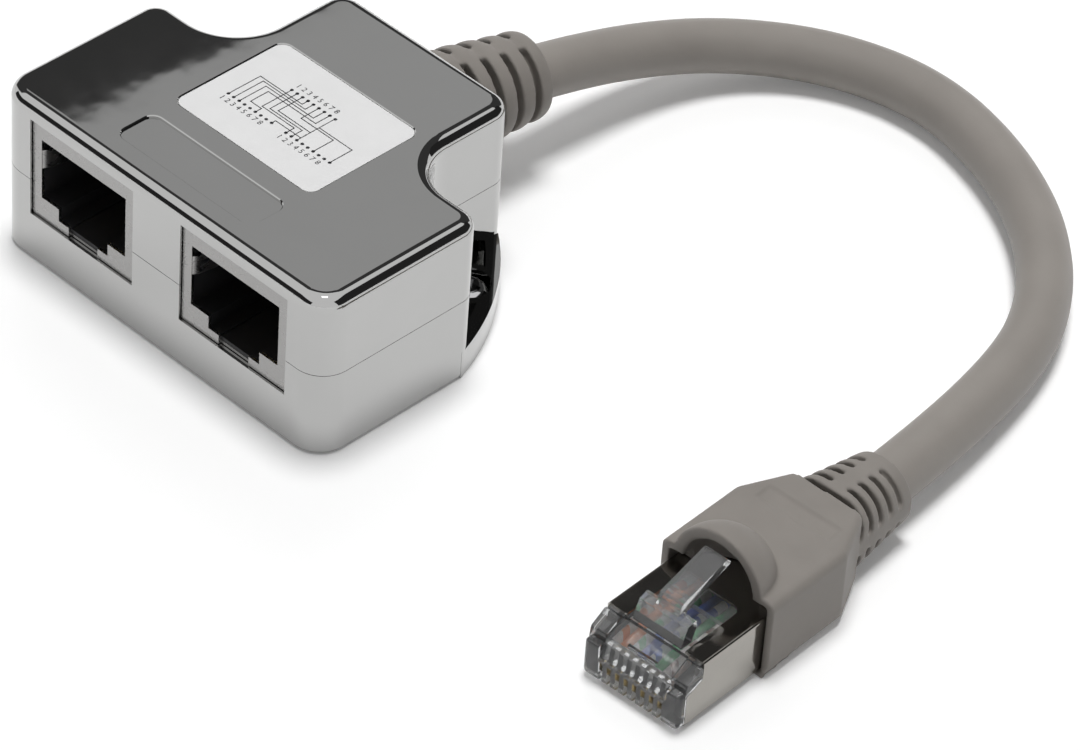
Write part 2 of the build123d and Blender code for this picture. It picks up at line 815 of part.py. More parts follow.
def plug_body():
    """Clear body: stepped nose with a comb, hollow back, and the latch in one piece."""
    low, skin = plug_floor, plug_sheet + fit_gap
    core = plug_width / 2 - skin
    inner = block(-core, core, nose_side - plug_sheet, plug_length - skin, low + skin, plug_top - skin)
    body = nose_form() + (inner - side_step(-plug_sheet)) - face_cut()
    for index in range(contact_count):
        x, half = comb_x(index), comb_slot_width / 2
        body -= block(x - half, x + half, -1, comb_slot_run, -1, low + comb_slot_height)
        body -= block(x - half, x + half, blade_front + blade_notch_slope, comb_slot_run, 1, wire_height)
    row = contact_count * contact_pitch / 2 + wire_gap
    tall = conductor_radius + wire_gap
    body -= block(-row, row, wire_front - wire_gap, wire_slot_end + 1,
                  wire_height - tall, wire_height + tall)
    body -= block(-slit_width / 2, slit_width / 2, slit_front, slit_front + slit_length,
                  wire_height + slit_above_wires, plug_top)
    body -= block(-cavity_half_width, cavity_half_width, wire_slot_end, plug_length,
                  low + plug_sheet + cavity_wall, plug_top - plug_sheet - cavity_wall)
    return place_plug(body + latch())


def plug_load_bar():
    """Bar with a groove for each conductor, inside the plug."""
    y0 = wire_slot_end + fit_gap
    half = cavity_half_width - fit_gap
    bar = block(-half, half, y0, y0 + load_bar_length, wire_height - load_bar_below, wire_height)
    y1, groove = y0 + load_bar_length, conductor_radius + wire_gap
    for index in range(contact_count):
        bar -= lying(comb_x(index), y0 - 1, y1 + 1, wire_height, groove)
    return place_plug(bar)


def latch_window():
    """The opening of the shield's top, round the latch."""
    front = nose_top - window_corner
    outline = RectangleRounded(window_width, window_end - front, window_corner)
    outline = Pos(0, (front + window_end) / 2) * outline + Pos(0, front) * Rectangle(window_width, 3)
    return Pos(0, 0, plug_top - 2 * plug_sheet) * extrude(outline, 1)


def plug_shield(bore):
    """Folded shield of the plug, with its top window and the collar crimped on the jacket."""
    half = plug_width / 2
    shell = block(-half, half, nose_side + fit_gap, plug_length, plug_floor, plug_top)
    shell = fillet(shell.edges().filter_by(Axis.Y), shield_corner)
    shell -= block(-half + plug_sheet, half - plug_sheet, nose_side - 1, plug_length - plug_sheet,
                   plug_floor + plug_sheet, plug_top - plug_sheet)
    shell -= side_step(fit_gap)
    comb = contact_count * contact_pitch / 2 + comb_window_side
    shell -= block(-comb, comb, 0, comb_slot_run + comb_window_run, plug_floor - 1, plug_floor + 1)
    shell -= latch_window()
    end = plug_length + crimp_length
    shell -= lying(0, plug_length - 2, plug_length + 1, boot_axis, cable_radius - crimp_thickness)
    collar = lying(0, plug_length - fit_gap, end, boot_axis, cable_radius + bore_gap + crimp_thickness)
    collar -= lying(0, plug_length - 1, plug_length + fit_gap, boot_axis, cable_radius - crimp_thickness)
    return place_plug(shell + collar) - bore


def section_at(y, width, height, low, corner):
    """An upright rounded rectangle across the boot."""
    place = Plane(origin=(0, y, low + height / 2), z_dir=(0, 1, 0), x_dir=(1, 0, 0))
    return place * RectangleRounded(width, height, corner)


def domed_bar(y0, y1, z, radius):
    """A round bar along Y that ends in a dome behind y1."""
    middle = (radius * sin(radians(45)), y1 + radius * cos(radians(45)))
    edge = [Line((0, y0), (radius, y0)), Line((radius, y0), (radius, y1)),
            ThreePointArc((radius, y1), middle, (0, y1 + radius)), Line((0, y1 + radius), (0, y0))]
    return Pos(0, 0, z) * revolve(make_face(Curve() + edge), Axis.Y)


def boot_form():
    """Outer form of the boot: a block, a flat waist, a round tail and the hood."""
    waist_height = boot_height - boot_waist_low
    block_front = section_at(boot_front, boot_width, boot_height, 0, boot_corner)
    block_end = section_at(boot_block_end, boot_width, boot_height, 0, boot_corner)
    waist = section_at(boot_waist, boot_waist_width, waist_height, boot_waist_low, boot_corner)
    tail_start = section_at(boot_waist, boot_waist_width, waist_height, boot_waist_low,
                            boot_tail_corner)
    tail_end = section_at(boot_tail, boot_tail_diameter, boot_tail_diameter,
                          boot_axis - boot_tail_diameter / 2, boot_tail_diameter / 2 - 0.05)
    form = loft([block_front, block_end], ruled=True)
    form += loft([block_end, waist], ruled=True)
    form += loft([tail_start, tail_end], ruled=True)
    return form + domed_bar(boot_front, boot_front + hood_straight, hood_axis, hood_radius)


def boot_bevels():
    """What is taken off the two lower edges of the boot's block."""
    half = boot_width / 2
    points = [(half - bevel_width, 0), (half, bevel_height), (half + 1, bevel_height),
              (half + 1, -1), (half - bevel_width, -1)]
    outline = make_face(Polyline(*[(x, 0, z) for x, z in points], close=True))
    cut = extrude(outline, boot_waist, dir=(0, 1, 0))
    return cut + cut.mirror(Plane.YZ)


def hood_hole():
    """The hollow of the hood, which the latch's lever points into."""
    hole = domed_bar(boot_front - 1, boot_front + hood_straight, hood_axis, hood_hole_radius)
    return hole - block(-FAR, FAR, -FAR, FAR, -FAR, plug_top - 1)


def front_lip():
    """Thin flange round the foot of the boot's block."""
    half = lip_width / 2
    outline = Polyline((-half, lip_front), (half, lip_front), (half - lip_taper, lip_front + lip_length),
                       (-half + lip_taper, lip_front + lip_length), close=True)
    return extrude(make_face(outline), lip_height)


def tail_slots():
    """The slots that let the tail bend: all but the first keep a web across the top."""
    cuts = []
    for index in range(tail_slot_count):
        y = tail_slot_first + index * tail_slot_pitch
        slot = block(-20, 20, y, y + tail_slot_width, -20, 20)
        slot -= lying(0, y - 1, y + 2, boot_axis, tail_core_radius)
        slot -= block(-20, 20, y - 1, y + 2, boot_axis - tail_web, boot_axis + tail_web)
        if index:
            slot -= block(-tail_web, tail_web, y - 1, y + 2, -20, 20)
        cuts.append(slot)
    return cuts


def plug_boot(bore):
    """Soft boot: collar round the shield, hood over the latch, and a slotted tail."""
    form = boot_form() - hood_hole() - boot_bevels()
    form -= block(-panel_width / 2, panel_width / 2, panel_front, panel_front + panel_length,
                  boot_height - panel_depth, boot_height + 1)
    half = plug_width / 2 + fit_gap
    form -= block(-half, half, boot_front - 1, plug_length + fit_gap, boot_floor, plug_top + fit_gap)
    form -= block(-half, half, boot_front - 1, boot_front + collar_depth, boot_floor,
                  plug_top + collar_rise)
    form += front_lip()
    form -= lying(0, plug_length - 1, plug_length + crimp_length + fit_gap, boot_axis,
                  cable_radius + bore_gap + crimp_thickness + fit_gap)
    for slot in tail_slots():
        form -= slot
    return place_plug(form) - bore


def all_parts():
    """Every piece under its own name."""
    path = cable_path()
    cable = tube_along(path, cable_radius)
    bore = tube_along(path, cable_radius + bore_gap)
    parts = {
        "upper_shell": upper_shell(),
        "lower_shell": lower_shell(),
        "ear_screw_left": ear_screw(-1),
        "ear_screw_right": ear_screw(1),
        "wiring_label": wiring_label(),
        "circuit_board": circuit_board(),
        "strain_relief": strain_relief(bore),
        "cable_clamp": cable_clamp(),
        "cable": cable,
        "plug_boot": plug_boot(bore),
        "plug_shield": plug_shield(bore),
        "plug_body": plug_body(),
        "plug_load_bar": plug_load_bar(),
    }
    for side, centre in jack_centres().items():
        parts[f"jack_{side}_shield"] = jack_shield(centre)
        parts[f"jack_{side}_insert"] = jack_insert(centre)
        for index, (x, tail_y) in enumerate(spring_places(centre)):
            parts[f"jack_{side}_contact_{index + 1}"] = spring_contact(x, tail_y)
    for index in range(contact_count):
        parts[f"board_wire_{index + 1}"] = board_wire(index)
        parts[f"plug_wire_{index + 1}"] = plug_wire(index)
        parts[f"plug_contact_{index + 1}"] = plug_contact(index)
    return parts


def report_cable(cable):
    """Prints the arcs' radii, and the tube's volume against its section times its length."""
    path = cable_path()
    print("corner radii, mm:", [round(radius, 1) for radius in corner_radii(cable_route())])
    ideal = 3.141592653589793 * cable_radius ** 2 * path.length
    print("cable length, mm:", round(path.length, 1), "volume ratio:", round(cable.volume / ideal, 5))


os.makedirs("parts", exist_ok=True)
built = all_parts()
report_cable(built["cable"])
centring = Pos(0, -total_depth / 2, 0)
for name, shape in built.items():
    export_step(centring * shape, os.path.join("parts", name + ".step"))
print("parts written:", len(built))
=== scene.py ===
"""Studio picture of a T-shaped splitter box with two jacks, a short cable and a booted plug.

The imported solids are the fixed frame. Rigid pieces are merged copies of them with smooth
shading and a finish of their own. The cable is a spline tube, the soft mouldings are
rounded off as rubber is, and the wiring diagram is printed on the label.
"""

from __future__ import annotations

import json
import logging
import math
from dataclasses import dataclass
from enum import Enum

import bpy
from mathutils import Matrix, Vector

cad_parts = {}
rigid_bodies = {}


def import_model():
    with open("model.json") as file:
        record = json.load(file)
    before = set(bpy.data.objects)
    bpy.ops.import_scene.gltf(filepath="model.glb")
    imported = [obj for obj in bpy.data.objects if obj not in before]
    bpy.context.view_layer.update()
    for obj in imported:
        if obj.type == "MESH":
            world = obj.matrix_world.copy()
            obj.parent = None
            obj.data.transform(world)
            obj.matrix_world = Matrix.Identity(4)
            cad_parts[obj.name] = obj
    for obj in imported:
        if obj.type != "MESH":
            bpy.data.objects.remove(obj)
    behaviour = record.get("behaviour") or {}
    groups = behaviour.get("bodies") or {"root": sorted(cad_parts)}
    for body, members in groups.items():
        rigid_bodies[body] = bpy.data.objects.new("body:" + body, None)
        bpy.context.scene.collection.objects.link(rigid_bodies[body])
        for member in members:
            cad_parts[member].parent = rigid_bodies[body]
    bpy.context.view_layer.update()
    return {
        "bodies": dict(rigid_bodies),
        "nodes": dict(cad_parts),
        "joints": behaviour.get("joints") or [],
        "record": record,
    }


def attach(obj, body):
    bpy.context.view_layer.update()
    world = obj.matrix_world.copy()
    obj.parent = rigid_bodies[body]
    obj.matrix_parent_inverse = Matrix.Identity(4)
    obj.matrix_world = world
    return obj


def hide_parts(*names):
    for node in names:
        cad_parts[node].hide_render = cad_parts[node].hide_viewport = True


LOG = logging.getLogger("splitter")
MM = 0.001
CONTACTS = 8

# From the box's front face, where the part's own millimetres start, to the row's origin
DEPTH_SHIFT = -18.0

# A colour Mix node's own sockets, which share their names with those of its other types
MIX_FIRST, MIX_SECOND, MIX_RESULT = 6, 7, 2

Colour = tuple[float, float, float]
Point = tuple[float, float, float]
Spot = tuple[float, float]


class Side(Enum):
    """The two jacks, by where they stand in the front face."""

    LEFT = "left"
    RIGHT = "right"


class Group(Enum):
    """The surface effects that several finishes share."""

    GRAIN = "moulded_grain"
    POLISH = "polish_ripple"


class Graph:
    """A shader node tree that is filled in code."""

    def __init__(self, tree: bpy.types.NodeTree) -> None:
        """Takes the tree to fill.

        Args:
            tree: the node tree of a material, a group or the world.
        """
        self.tree = tree

    def add(self, kind: str, values: dict | None = None, **settings: object) -> bpy.types.Node:
        """Adds one node.

        Args:
            kind: the node's Blender type.
            values: socket names and the values that they start with.
            settings: properties of the node itself.

        Returns:
            The new node.
        """
        node = self.tree.nodes.new(kind)
        node.location = (220 * len(self.tree.nodes), 0)
        for name, value in settings.items():
            setattr(node, name, value)
        for name, value in (values or {}).items():
            node.inputs[name].default_value = value
        return node

    def link(self, source: bpy.types.NodeSocket, target: bpy.types.NodeSocket) -> None:
        """Joins an output to an input."""
        self.tree.links.new(source, target)

    def maths(self, operation: str, first: object, second: object) -> bpy.types.NodeSocket:
        """Adds a Math node.

        Args:
            operation: the Math node's operation.
            first: a socket or a number.
            second: a socket or a number.

        Returns:
            The node's output.
        """
        node = self.add("ShaderNodeMath", operation=operation)
        for place, value in enumerate((first, second)):
            if isinstance(value, (int, float)):
                node.inputs[place].default_value = value
            else:
                self.link(value, node.inputs[place])
        return node.outputs[0]


class EffectLibrary:
    """Builds the shared shader groups once and places them in materials.

    A noise's scale is given as a share of its group's Scale, and the hairlines' turn in radians.
    """

    BROAD_SCALE = 0.09
    FINE_WEIGHT = 0.75
    SMEAR_SCALE = 0.7
    HAIR_SCALE = 9.0
    HAIR_STRETCH = 14.0
    HAIR_TURN = 0.5
    HAIR_WEIGHT = 0.002

    _trees: dict[Group, bpy.types.NodeTree] = {}

    @classmethod
    def place(cls, graph: Graph, group: Group, values: dict[str, float]) -> bpy.types.Node:
        """Puts a shared group in a material, fed by Object coordinates.

        Args:
            graph: the material's graph.
            group: which effect.
            values: the group's own inputs.

        Returns:
            The group node.
        """
        if group not in cls._trees:
            cls._trees[group] = cls._grain() if group is Group.GRAIN else cls._polish()
        node = graph.add("ShaderNodeGroup")
        node.node_tree = cls._trees[group]
        for name, value in values.items():
            node.inputs[name].default_value = value
        where = graph.add("ShaderNodeTexCoord")
        graph.link(where.outputs["Object"], node.inputs["Vector"])
        return node

    @staticmethod
    def _sockets(tree: bpy.types.NodeTree, inputs: dict[str, float], outputs: tuple[str, ...]) -> None:
        """Declares a group's sockets: a Vector, numbers with defaults, and number outputs."""
        tree.interface.new_socket(name="Vector", in_out="INPUT", socket_type="NodeSocketVector")
        for name, value in inputs.items():
            socket = tree.interface.new_socket(name=name, in_out="INPUT", socket_type="NodeSocketFloat")
            socket.default_value = value
        for name in outputs:
            tree.interface.new_socket(name=name, in_out="OUTPUT", socket_type="NodeSocketFloat")

    @classmethod
    def _grain(cls) -> bpy.types.NodeTree:
        """Fine grain of moulded plastic and rubber, with broad uneven gloss and tone."""
        tree = bpy.data.node_groups.new(Group.GRAIN.value, "ShaderNodeTree")
        cls._sockets(tree, {"Scale": 2000.0, "Smooth": 0.4, "Rough": 0.5}, ("Height", "Roughness", "Tone"))
        graph = Graph(tree)
        enter, leave = graph.add("NodeGroupInput"), graph.add("NodeGroupOutput")
        fine = graph.add("ShaderNodeTexNoise", {"Detail": 4.0, "Roughness": 0.6})
        broad = graph.add("ShaderNodeTexNoise", {"Detail": 3.0, "Roughness": 0.55})
        for noise in (fine, broad):
            graph.link(enter.outputs["Vector"], noise.inputs["Vector"])
        graph.link(enter.outputs["Scale"], fine.inputs["Scale"])
        graph.link(graph.maths("MULTIPLY", enter.outputs["Scale"], cls.BROAD_SCALE), broad.inputs["Scale"])
        height = graph.maths("ADD", graph.maths("MULTIPLY", fine.outputs["Fac"], cls.FINE_WEIGHT),
                             graph.maths("MULTIPLY", broad.outputs["Fac"], 1 - cls.FINE_WEIGHT))
        gloss = graph.add("ShaderNodeMapRange", {"From Min": 0.3, "From Max": 0.7})
        graph.link(broad.outputs["Fac"], gloss.inputs["Value"])
        graph.link(enter.outputs["Smooth"], gloss.inputs["To Min"])
        graph.link(enter.outputs["Rough"], gloss.inputs["To Max"])
        tone = graph.add("ShaderNodeMapRange", {"From Min": 0.32, "From Max": 0.68})
        graph.link(broad.outputs["Fac"], tone.inputs["Value"])
        graph.link(height, leave.inputs["Height"])
        graph.link(gloss.outputs["Result"], leave.inputs["Roughness"])
        graph.link(tone.outputs["Result"], leave.inputs["Tone"])
        return tree

    @classmethod
    def _polish(cls) -> bpy.types.NodeTree:
        """Slow ripple of plated or polished surfaces, with a few hairlines and smears."""
        tree = bpy.data.node_groups.new(Group.POLISH.value, "ShaderNodeTree")
        cls._sockets(tree, {"Scale": 160.0, "Smooth": 0.04, "Rough": 0.08}, ("Height", "Roughness", "Tone"))
        graph = Graph(tree)
        enter, leave = graph.add("NodeGroupInput"), graph.add("NodeGroupOutput")
        ripple = graph.add("ShaderNodeTexNoise", {"Detail": 2.0, "Roughness": 0.45})
        smear = graph.add("ShaderNodeTexNoise", {"Detail": 5.0, "Roughness": 0.6, "Distortion": 0.6})
        stretch = graph.add("ShaderNodeMapping", {
            "Scale": (1.0, cls.HAIR_STRETCH, 1.0), "Rotation": (0.0, 0.0, cls.HAIR_TURN)})
        hair = graph.add("ShaderNodeTexNoise", {"Detail": 2.0, "Roughness": 0.5})
        for node in (ripple, smear, stretch):
            graph.link(enter.outputs["Vector"], node.inputs["Vector"])
        graph.link(stretch.outputs["Vector"], hair.inputs["Vector"])
        graph.link(enter.outputs["Scale"], ripple.inputs["Scale"])
        graph.link(graph.maths("MULTIPLY", enter.outputs["Scale"], cls.SMEAR_SCALE), smear.inputs["Scale"])
        graph.link(graph.maths("MULTIPLY", enter.outputs["Scale"], cls.HAIR_SCALE), hair.inputs["Scale"])
        scratches = graph.maths("MULTIPLY", hair.outputs["Fac"], cls.HAIR_WEIGHT)
        height = graph.maths("ADD", ripple.outputs["Fac"], scratches)
        gloss = graph.add("ShaderNodeMapRange", {"From Min": 0.35, "From Max": 0.7})
        graph.link(smear.outputs["Fac"], gloss.inputs["Value"])
        graph.link(enter.outputs["Smooth"], gloss.inputs["To Min"])
        graph.link(enter.outputs["Rough"], gloss.inputs["To Max"])
        graph.link(height, leave.inputs["Height"])
        graph.link(gloss.outputs["Result"], leave.inputs["Roughness"])
        graph.link(smear.outputs["Fac"], leave.inputs["Tone"])
        return tree


@dataclass(frozen=True)
class Finish:
    """A surface finish: its name, its colour and how far its tone varies."""

    name: str
    colour: Colour
    variation: float = 0.06

    def material(self) -> bpy.types.Material:
        """Makes the material on first use and gives the same one after that.

        Returns:
            The Blender material of this finish.
        """
        name = f"{self.name}_look"
        made = bpy.data.materials.get(name)
        if made is None:
            made = bpy.data.materials.new(name)
            made.use_nodes = True
            made.node_tree.nodes.clear()
            graph = Graph(made.node_tree)
            shader = graph.add("ShaderNodeBsdfPrincipled")
            out = graph.add("ShaderNodeOutputMaterial")
            graph.link(shader.outputs["BSDF"], out.inputs["Surface"])
            self.shade(graph, shader)
            made.diffuse_color = (*self.colour, 1.0)
        return made

    def shade(self, graph: Graph, shader: bpy.types.Node) -> None:
        """Sets the shader and the nodes that feed it; each kind of finish has its own."""
        raise NotImplementedError

    def tinted(self, graph: Graph, tone: bpy.types.NodeSocket, shader: bpy.types.Node) -> None:
        """Feeds Base Color with the colour, darker and lighter by the tone.

        Args:
            graph: the material's graph.
            tone: a number from 0 to 1 that varies over the surface.
            shader: the Principled shader.
        """
        mix = graph.add("ShaderNodeMix", data_type="RGBA")
        darker = [c * (1 - self.variation) for c in self.colour]
        lighter = [min(1.0, c * (1 + self.variation)) for c in self.colour]
        mix.inputs[MIX_FIRST].default_value = (*darker, 1)
        mix.inputs[MIX_SECOND].default_value = (*lighter, 1)
        graph.link(tone, mix.inputs["Factor"])
        graph.link(mix.outputs[MIX_RESULT], shader.inputs["Base Color"])

    def bumped(self, graph: Graph, height: bpy.types.NodeSocket, shader: bpy.types.Node,
               strength: float, distance: float) -> None:
        """Feeds Normal from a height.

        Args:
            graph: the material's graph.
            height: the height over the surface.
            shader: the Principled shader.
            strength: how much of the bump shows, from 0 to 1.
            distance: the bump's depth, in metres.
        """
        bump = graph.add("ShaderNodeBump", {"Strength": strength, "Distance": distance})
        graph.link(height, bump.inputs["Height"])
        graph.link(bump.outputs["Normal"], shader.inputs["Normal"])


@dataclass(frozen=True)
class Plating(Finish):
    """Plated or bare metal: chrome, nickel, steel or gold."""

    smooth: float = 0.04
    rough: float = 0.08
    ripple_scale: float = 160.0
    ripple: float = 0.05
    ripple_depth: float = 0.00025

    def shade(self, graph: Graph, shader: bpy.types.Node) -> None:
        """Metallic shader with the polish group's ripple, smears and tone."""
        polish = EffectLibrary.place(graph, Group.POLISH, {
            "Scale": self.ripple_scale, "Smooth": self.smooth, "Rough": self.rough})
        shader.inputs["Metallic"].default_value = 1.0
        graph.link(polish.outputs["Roughness"], shader.inputs["Roughness"])
        self.tinted(graph, polish.outputs["Tone"], shader)
        self.bumped(graph, polish.outputs["Height"], shader, self.ripple, self.ripple_depth)


@dataclass(frozen=True)
class Moulding(Finish):
    """Moulded plastic or rubber, from glossy to matte."""

    smooth: float = 0.4
    rough: float = 0.5
    grain_scale: float = 2200.0
    grain: float = 0.1
    grain_depth: float = 0.0001
    specular: float = 0.4

    def shade(self, graph: Graph, shader: bpy.types.Node) -> None:
        """Dielectric shader with the grain group's bump, gloss and tone."""
        grain = EffectLibrary.place(graph, Group.GRAIN, {
            "Scale": self.grain_scale, "Smooth": self.smooth, "Rough": self.rough})
        shader.inputs["Specular IOR Level"].default_value = self.specular
        graph.link(grain.outputs["Roughness"], shader.inputs["Roughness"])
        self.tinted(graph, grain.outputs["Tone"], shader)
        self.bumped(graph, grain.outputs["Height"], shader, self.grain, self.grain_depth)


@dataclass(frozen=True)
class ClearPlastic(Finish):
    """Clear moulded plastic with a faint flow pattern."""

    smooth: float = 0.03
    rough: float = 0.09
    flow_scale: float = 900.0
    flow: float = 0.06
    flow_depth: float = 0.0001
    refraction: float = 1.49
    clearness: float = 0.92

    def shade(self, graph: Graph, shader: bpy.types.Node) -> None:
        """Transmitting shader; its gloss and bump come from the grain group."""
        grain = EffectLibrary.place(graph, Group.GRAIN, {
            "Scale": self.flow_scale, "Smooth": self.smooth, "Rough": self.rough})
        shader.inputs["IOR"].default_value = self.refraction
        shader.inputs["Transmission Weight"].default_value = self.clearness
        graph.link(grain.outputs["Roughness"], shader.inputs["Roughness"])
        self.tinted(graph, grain.outputs["Tone"], shader)
        self.bumped(graph, grain.outputs["Height"], shader, self.flow, self.flow_depth)


@dataclass(frozen=True)
class Insulation(Finish):
    """Conductor insulation, plain or with a coloured ring at intervals."""

    ring: Colour | None = None
    ring_pitch: float = 2.4
    ring_level: float = 0.25
    smooth: float = 0.25
    rough: float = 0.35
    grain_scale: float = 3000.0
    grain: float = 0.04
    grain_depth: float = 0.0001

    def shade(self, graph: Graph, shader: bpy.types.Node) -> None:
        """Glossy plastic; the rings are bands along Y."""
        grain = EffectLibrary.place(graph, Group.GRAIN, {
            "Scale": self.grain_scale, "Smooth": self.smooth, "Rough": self.rough})
        graph.link(grain.outputs["Roughness"], shader.inputs["Roughness"])
        self.bumped(graph, grain.outputs["Height"], shader, self.grain, self.grain_depth)
        if self.ring is None:
            self.tinted(graph, grain.outputs["Tone"], shader)
            return
        where = graph.add("ShaderNodeTexCoord")
        parts = graph.add("ShaderNodeSeparateXYZ")
        graph.link(where.outputs["Object"], parts.inputs["Vector"])
        turns = graph.maths("MULTIPLY", parts.outputs["Y"], 2 * math.pi / (self.ring_pitch * MM))
        wave = graph.maths("SINE", turns, 0.0)
        band = graph.maths("GREATER_THAN", wave, self.ring_level)
        mix = graph.add("ShaderNodeMix", data_type="RGBA")
        mix.inputs[MIX_FIRST].default_value = (*self.colour, 1)
        mix.inputs[MIX_SECOND].default_value = (*self.ring, 1)
        graph.link(band, mix.inputs["Factor"])
        graph.link(mix.outputs[MIX_RESULT], shader.inputs["Base Color"])


CHROME = Plating("housing_chrome", (0.45, 0.45, 0.445), variation=0.03, smooth=0.02, rough=0.045,
                 ripple_scale=150.0, ripple=0.035, ripple_depth=0.0004)
SCREW = Plating("screw_chrome", (0.52, 0.52, 0.525), smooth=0.05, rough=0.1)
NICKEL_CAN = Plating("jack_nickel", (0.34, 0.335, 0.33), variation=0.05, smooth=0.22, rough=0.32,
                     ripple_scale=900.0, ripple=0.12, ripple_depth=0.0001)
PLUG_SHIELD = Plating("plug_shield_nickel", (0.32, 0.305, 0.28), variation=0.08, smooth=0.06, rough=0.15,
                      ripple_scale=400.0, ripple=0.08)
GOLD = Plating("contact_gold", (0.80, 0.60, 0.26), smooth=0.14, rough=0.24, ripple_scale=900.0)
CLAMP = Plating("clamp_steel", (0.5, 0.5, 0.5), smooth=0.25, rough=0.35)
BLACK_BODY = Moulding("jack_black", (0.012, 0.012, 0.013), smooth=0.42, rough=0.55, grain=0.12)
CABLE_JACKET = Moulding("cable_jacket", (0.295, 0.273, 0.251), variation=0.04, smooth=0.42, rough=0.52,
                        grain_scale=1500.0, grain=0.08, specular=0.35)
BOOT_RUBBER = Moulding("boot_rubber", (0.250, 0.231, 0.212), variation=0.05, smooth=0.5, rough=0.62,
                       grain_scale=1900.0, grain=0.14, specular=0.35)
LABEL_PAPER = Moulding("label_paper", (0.76, 0.76, 0.76), variation=0.015, smooth=0.5, rough=0.6,
                       grain_scale=3500.0, grain=0.06)
INK = Moulding("label_ink", (0.035, 0.035, 0.038), variation=0.2, smooth=0.5, rough=0.6, grain_scale=6000.0)
BOARD = Moulding("board_green", (0.03, 0.16, 0.06), smooth=0.3, rough=0.4, grain_scale=1200.0)
CLEAR = ClearPlastic("plug_clear", (0.70, 0.705, 0.71), variation=0.02, smooth=0.03, rough=0.08)
BAR = ClearPlastic("load_bar_clear", (0.90, 0.91, 0.92), variation=0.02, smooth=0.15, rough=0.25)

WIRES: tuple[Insulation, ...] = (
    Insulation("wire_white_orange", (0.80, 0.74, 0.68), ring=(0.95, 0.27, 0.03)),
    Insulation("wire_orange", (0.95, 0.27, 0.03)),
    Insulation("wire_white_green", (0.72, 0.76, 0.72), ring=(0.03, 0.42, 0.12)),
    Insulation("wire_blue", (0.05, 0.15, 0.60)),
    Insulation("wire_white_blue", (0.70, 0.74, 0.80), ring=(0.05, 0.15, 0.60)),
    Insulation("wire_green", (0.03, 0.42, 0.12)),
    Insulation("wire_white_brown", (0.76, 0.72, 0.68), ring=(0.26, 0.14, 0.08)),
    Insulation("wire_brown", (0.24, 0.13, 0.07)),
)


@dataclass
class Bench:
    """Where pieces are made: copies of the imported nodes, edited with Blender's operators.

    Lengths are in millimetres and angles in degrees.
    """

    frame: dict
    merge: float = 0.0015
    flat_angle: float = 0.3
    curved_angle: float = 28.0
    relax_rounds: int = 4

    def clear(self) -> None:
        """Leaves nothing selected and no piece in edit mode."""
        if bpy.context.object is not None and bpy.context.object.mode != "OBJECT":
            bpy.ops.object.mode_set(mode="OBJECT")
        bpy.ops.object.select_all(action="DESELECT")

    def take(self, piece: bpy.types.Object) -> None:
        """Makes one piece the only selected and active one."""
        self.clear()
        piece.select_set(True)
        bpy.context.view_layer.objects.active = piece

    def copy(self, node: str, name: str) -> bpy.types.Object:
        """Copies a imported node, merges its loose triangles and joins those that lie flat.

        Args:
            node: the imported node's name.
            name: the new piece's name.

        Returns:
            The new piece, with its place in its mesh.
        """
        source = self.frame["nodes"][node]
        piece = bpy.data.objects.new(name, source.data.copy())
        piece.data.name = name
        piece.data.materials.clear()
        bpy.context.scene.collection.objects.link(piece)
        self.take(piece)
        bpy.ops.object.mode_set(mode="EDIT")
        bpy.ops.mesh.select_all(action="SELECT")
        bpy.ops.mesh.customdata_custom_splitnormals_clear()
        bpy.ops.mesh.remove_doubles(threshold=self.merge * MM)
        bpy.ops.mesh.dissolve_limited(angle_limit=math.radians(self.flat_angle))
        bpy.ops.object.mode_set(mode="OBJECT")
        return piece

    def modify(self, piece: bpy.types.Object, kind: str, **settings: object) -> None:
        """Adds a modifier with its settings and applies it.

        Args:
            piece: the piece to change.
            kind: the modifier's Blender type.
            settings: the modifier's properties.
        """
        self.take(piece)
        modifier = piece.modifiers.new(kind.lower(), kind)
        for name, value in settings.items():
            setattr(modifier, name, value)
        bpy.ops.object.modifier_apply(modifier=modifier.name)

    def smooth(self, piece: bpy.types.Object) -> None:
        """Shades curved faces smooth and keeps flat faces flat."""
        self.take(piece)
        bpy.ops.object.shade_smooth_by_angle(angle=math.radians(self.curved_angle))
        self.modify(piece, "WEIGHTED_NORMAL", mode="FACE_AREA", keep_sharp=True, weight=80)

    def dress(self, piece: bpy.types.Object, finish: Finish, slot: str, *nodes: str) -> bpy.types.Object:
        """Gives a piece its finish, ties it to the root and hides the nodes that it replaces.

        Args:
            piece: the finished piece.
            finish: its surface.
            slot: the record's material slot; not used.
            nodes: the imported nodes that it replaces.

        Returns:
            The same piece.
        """
        piece.data.materials.clear()
        piece.data.materials.append(finish.material())
        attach(piece, "root")
        if nodes:
            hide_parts(*nodes)
        LOG.info("%s: %d faces", piece.name, len(piece.data.polygons) if piece.type == "MESH" else 0)
        return piece

    def skin(self, node: str, name: str, finish: Finish, slot: str) -> bpy.types.Object:
        """Makes the shown piece of a rigid node: a merged, smoothly shaded copy."""
        piece = self.copy(node, name)
        self.smooth(piece)
        return self.dress(piece, finish, slot, node)

    def soft_skin(self, node: str, name: str, finish: Finish, slot: str, voxel: float) -> bpy.types.Object:
        """Makes the shown piece of a rubber moulding, with its edges rounded off.

        Args:
            node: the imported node.
            name: the piece's name.
            finish: its surface.
            slot: the record's material slot.
            voxel: the remesh size, in millimetres.

        Returns:
            The piece.
        """
        piece = self.copy(node, name)
        self.modify(piece, "REMESH", mode="VOXEL", voxel_size=voxel * MM, use_smooth_shade=True)
        self.modify(piece, "SMOOTH", factor=0.5, iterations=self.relax_rounds)
        self.modify(piece, "DECIMATE", ratio=0.5)
        self.take(piece)
        bpy.ops.object.shade_smooth()
        return self.dress(piece, finish, slot, node)


